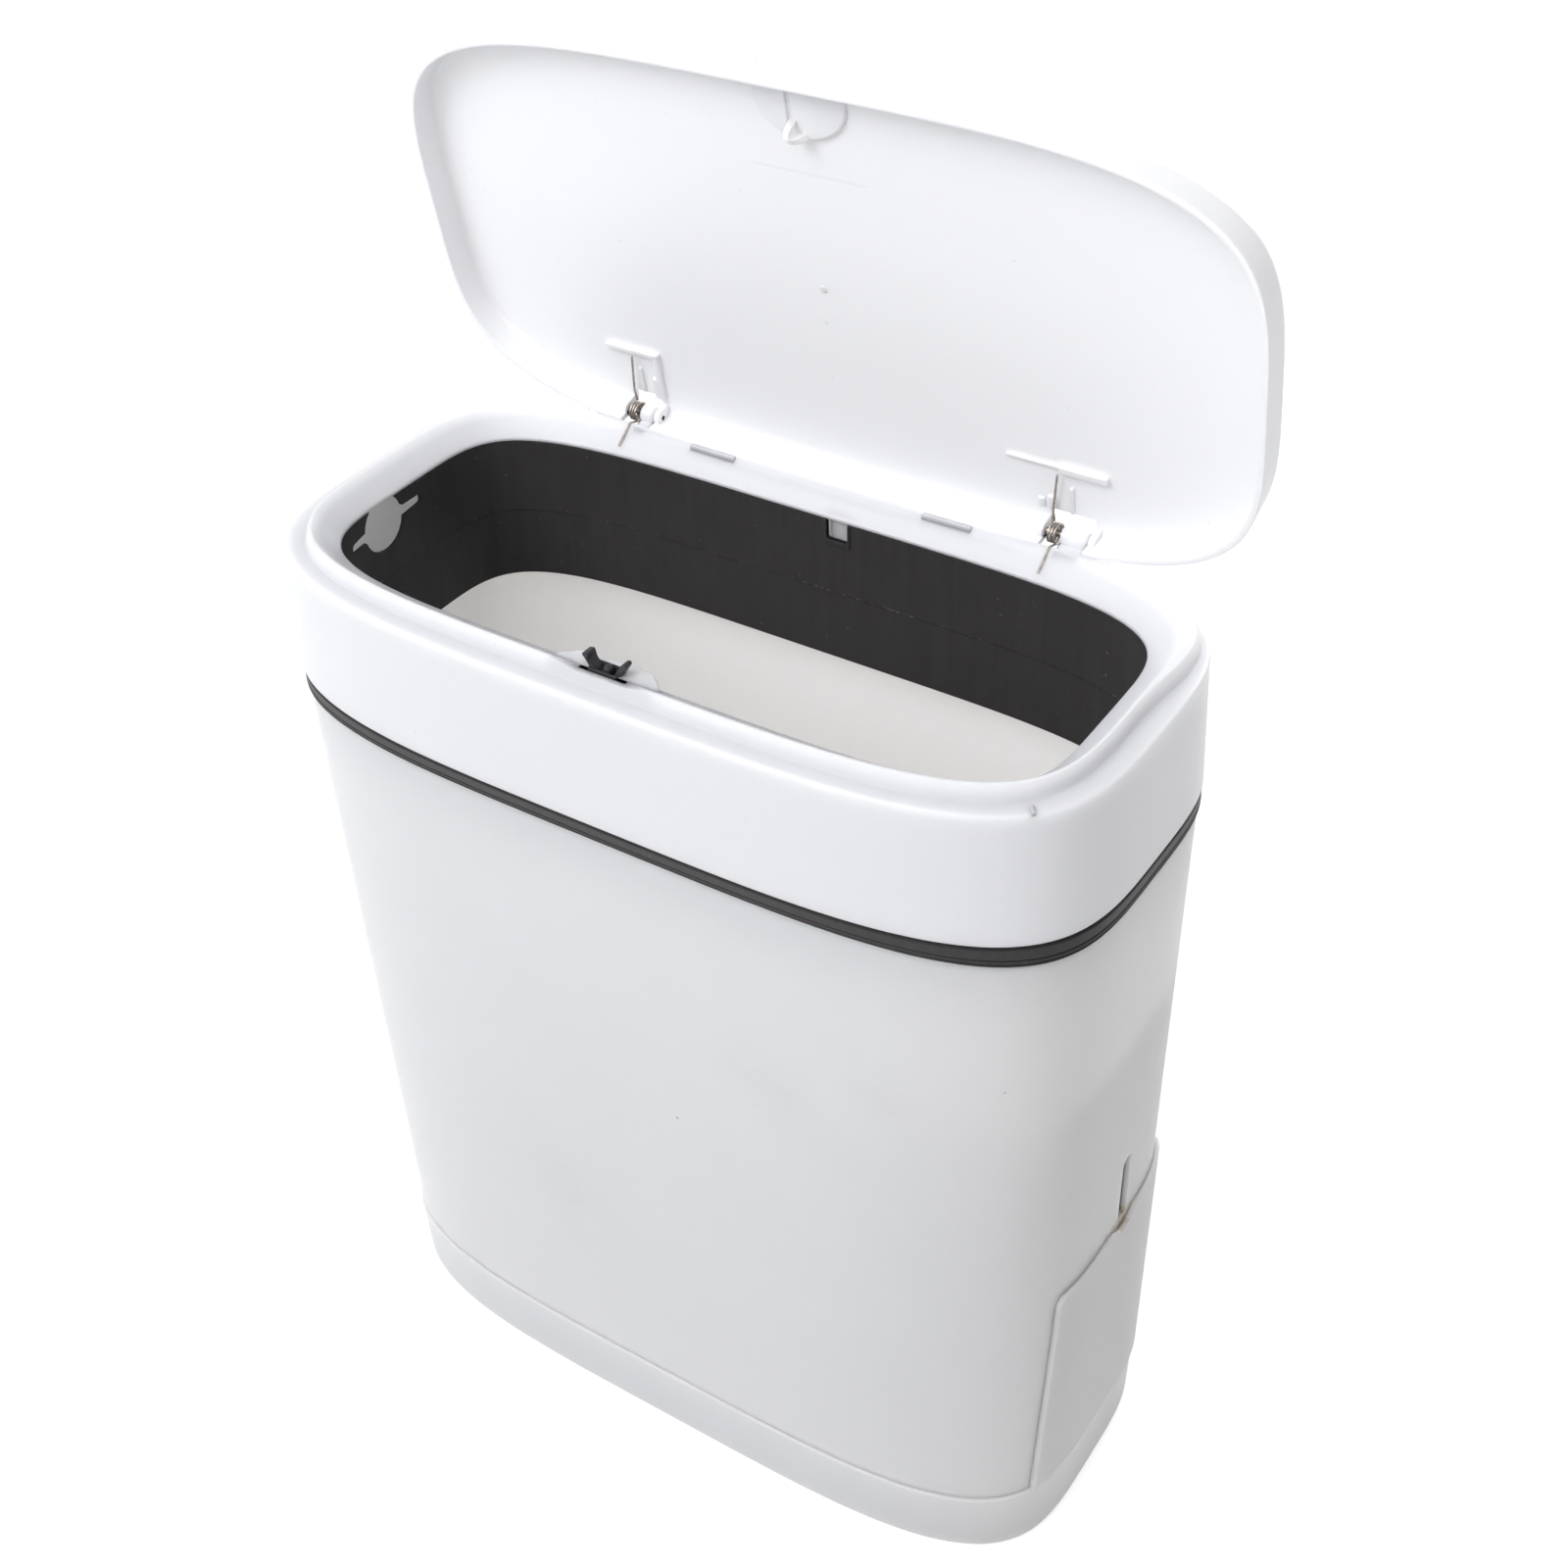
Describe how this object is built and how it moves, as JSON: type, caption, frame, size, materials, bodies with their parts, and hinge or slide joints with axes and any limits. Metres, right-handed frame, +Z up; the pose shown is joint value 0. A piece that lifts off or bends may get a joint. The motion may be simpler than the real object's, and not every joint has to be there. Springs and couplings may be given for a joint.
{
  "type": "bathroom bin with toilet brush",
  "caption": "Slim rounded rectangular bathroom bin with an open push-latch lid, a dark bag ring inside the mouth and a pull-out brush caddy in one end.",
  "frame": {"origin": "centre of the underside of the base tray", "axes": "+X along the bin's length towards the brush caddy, +Y towards the lid's hinge at the back, +Z up"},
  "size_m": [0.32, 0.1581, 0.5204],
  "materials": {
    "warm_white_plastic": "satin, slightly warm grey-white",
    "white_plastic": "satin, cool white",
    "black_plastic": "satin black",
    "spring_steel": "drawn wire, slightly browned",
    "grey_blue_plastic": "satin grey-blue",
    "bristle_nylon": "pale nylon"
  },
  "bodies": {
    "bin": {"base_tray": "warm_white_plastic", "body_shell": "warm_white_plastic", "bay_stand": "warm_white_plastic", "brush_bay": "warm_white_plastic"},
    "bag_ring": {"bag_ring": "black_plastic"},
    "collar": {"collar": "white_plastic", "latch_housing": "black_plastic", "latch_spring": "spring_steel", "hinge_spring_left": "spring_steel", "hinge_spring_right": "spring_steel"},
    "lid": {"lid_shell": "white_plastic", "lid_striker": "white_plastic", "hinge_pin_left": "spring_steel", "hinge_pin_right": "spring_steel"},
    "latch": {"latch_plunger": "black_plastic"},
    "claw_left": {"latch_claw_left": "black_plastic"},
    "claw_right": {"latch_claw_right": "black_plastic"},
    "caddy": {"caddy_panel": "warm_white_plastic", "caddy_cup": "warm_white_plastic"},
    "brush": {"brush_bristles": "bristle_nylon", "brush_head": "grey_blue_plastic", "brush_handle": "grey_blue_plastic"}
  },
  "joints": [
    {"name": "bag_ring_lift", "type": "slide", "parent": "bin", "child": "bag_ring", "axis": [0, 0, 1], "range_m": [0, 0.08]},
    {"name": "collar_lift", "type": "slide", "parent": "bag_ring", "child": "collar", "axis": [0, 0, 1], "range_m": [0, 0.08]},
    {"name": "lid_hinge", "type": "hinge", "parent": "collar", "child": "lid", "pos_m": [0, 0.0728, 0.3713], "axis": [1, 0, 0], "range_deg": [0, 80.1], "stiffness_Nm_per_rad": 0.12, "springref_deg": -34.38, "deforming": ["hinge_spring_left", "hinge_spring_right"]},
    {"name": "latch_press", "type": "slide", "parent": "collar", "child": "latch", "axis": [0, 0, 1], "range_m": [-0.005, 0], "stiffness_N_per_m": 200, "springref_m": 0.004, "deforming": ["latch_spring"]},
    {"name": "latch_claw_left_turn", "type": "hinge", "parent": "latch", "child": "claw_left", "pos_m": [-0.0026, -0.0634, 0.3657], "axis": [0, 1, 0], "range_deg": [0, 38]},
    {"name": "latch_claw_right_turn", "type": "hinge", "parent": "latch", "child": "claw_right", "pos_m": [0.0026, -0.0634, 0.3657], "axis": [0, 1, 0], "range_deg": [-38, 0]},
    {"name": "caddy_slide", "type": "slide", "parent": "bin", "child": "caddy", "axis": [1, 0, 0], "range_m": [0, 0.085]},
    {"name": "brush_lift", "type": "slide", "parent": "caddy", "child": "brush", "axis": [0, 0, 1], "range_m": [0, 0.06]}
  ],
  "couplings": [
    {"joint": "latch_claw_left_turn", "follows": "latch_press", "rad_per_m": -132.6},
    {"joint": "latch_claw_right_turn", "follows": "latch_press", "rad_per_m": 132.6}
  ]
}
